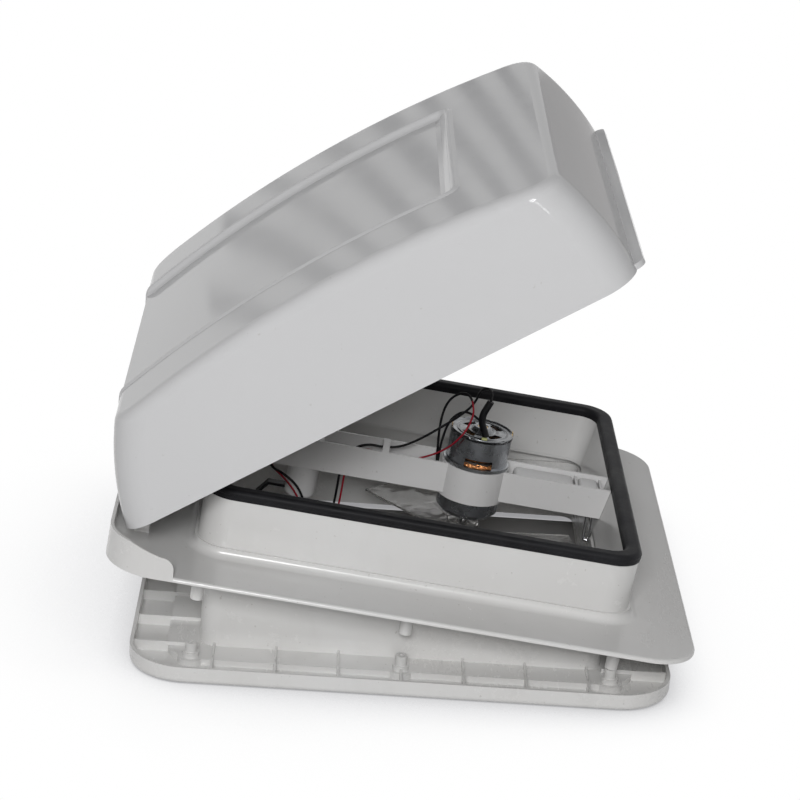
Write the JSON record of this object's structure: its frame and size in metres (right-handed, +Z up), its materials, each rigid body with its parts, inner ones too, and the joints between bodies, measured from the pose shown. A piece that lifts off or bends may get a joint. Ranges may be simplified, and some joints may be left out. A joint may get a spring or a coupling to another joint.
{
  "type": "roof hatch",
  "caption": "Square caravan roof vent with an arched hinged hood, foam gasket, motor bridge with fan, crank lift and interior trim frame.",
  "frame": {"origin": "middle of the interior trim's air opening, on the floor the trim stands on", "axes": "+Z up out of the room, +X from the hinge side of the hood to its front, +Y away from the camera"},
  "size_m": [0.4964, 0.4834, 0.4483],
  "materials": {
    "white_trim": "fine satin moulding",
    "white_base": "fine satin moulding",
    "white_hood": "smooth weatherproof moulding",
    "white_bridge": "plain moulding",
    "white_knob": "smooth moulding",
    "black_rubber": "soft foam rubber with a skin",
    "screw_steel": "zinc plated steel",
    "shaft_steel": "ground steel",
    "zinc_plate": "passivated zinc plate, slightly dull",
    "bronze": "sintered bronze and brass tab",
    "core_iron": "stacked lamination edges",
    "winding_copper": "enamelled copper wire",
    "smoke_plastic": "translucent moulding",
    "black_wire": "insulated lead",
    "red_wire": "insulated lead",
    "clip_chrome": "bright spring wire",
    "black_strap": "plain black moulding"
  },
  "bodies": {
    "trim": {"interior_trim": "white_trim"},
    "roof_frame": {"roof_base": "white_base", "collar_gasket": "black_rubber", "motor_bridge": "white_bridge", "bridge_screws": "screw_steel", "motor_can": "zinc_plate", "motor_end_bell": "zinc_plate", "motor_bushes": "bronze", "motor_flux_ring": "zinc_plate", "brush_terminals": "bronze", "crank_housing": "white_bridge", "hinge_pins": "shaft_steel", "lead_feed": "black_wire", "lead_return": "red_wire", "lead_arch": "black_wire", "lead_brush": "black_wire", "lead_sleeve": "black_wire", "lead_connectors": "black_strap", "lead_clip": "white_bridge", "stay_strap": "black_strap", "spring_clip": "clip_chrome"},
    "fan": {"armature_core": "core_iron", "armature_windings": "winding_copper", "fan_shaft": "shaft_steel", "fan_blades": "smoke_plastic", "fan_nut": "screw_steel"},
    "crank": {"crank_spindle": "shaft_steel", "crank_knob": "white_knob"},
    "lift_arm": {"lift_arm": "zinc_plate", "arm_shaft": "shaft_steel", "arm_pin": "shaft_steel", "arm_roller": "white_knob"},
    "hood": {"lift_track": "zinc_plate", "hood_shell": "white_hood", "hood_seal_frame": "white_hood", "hood_knuckles": "white_hood"}
  },
  "joints": [
    {"name": "roof_part_rock", "type": "hinge", "parent": "trim", "child": "roof_frame", "pos_m": [0.1776, 0, 0.02225], "axis": [0, 1, 0], "range_deg": [-6.47, 0]},
    {"name": "hood_hinge", "type": "hinge", "parent": "roof_frame", "child": "hood", "pos_m": [-0.23036, 0, 0.14772], "axis": [0, -1, 0], "range_deg": [-38.6, 9.4]},
    {"name": "lift_arm_hinge", "type": "hinge", "parent": "roof_frame", "child": "lift_arm", "pos_m": [-0.09076, 0.03, 0.13189], "axis": [0, -1, 0], "range_deg": [-77.2, 18.8]},
    {"name": "crank_spin", "type": "hinge", "parent": "roof_frame", "child": "crank", "pos_m": [-0.09593, 0, 0.08628], "axis": [0.1127, 0, 0.9936], "range_deg": [-926.4, 225.6]},
    {"name": "fan_spin", "type": "hinge", "parent": "roof_frame", "child": "fan", "pos_m": [0.05411, 0, 0.06926], "axis": [0.1127, 0, 0.9936], "continuous": true}
  ],
  "couplings": [
    {"joint": "lift_arm_hinge", "follows": "hood_hinge", "ratio": 2},
    {"joint": "crank_spin", "follows": "hood_hinge", "ratio": 24}
  ]
}
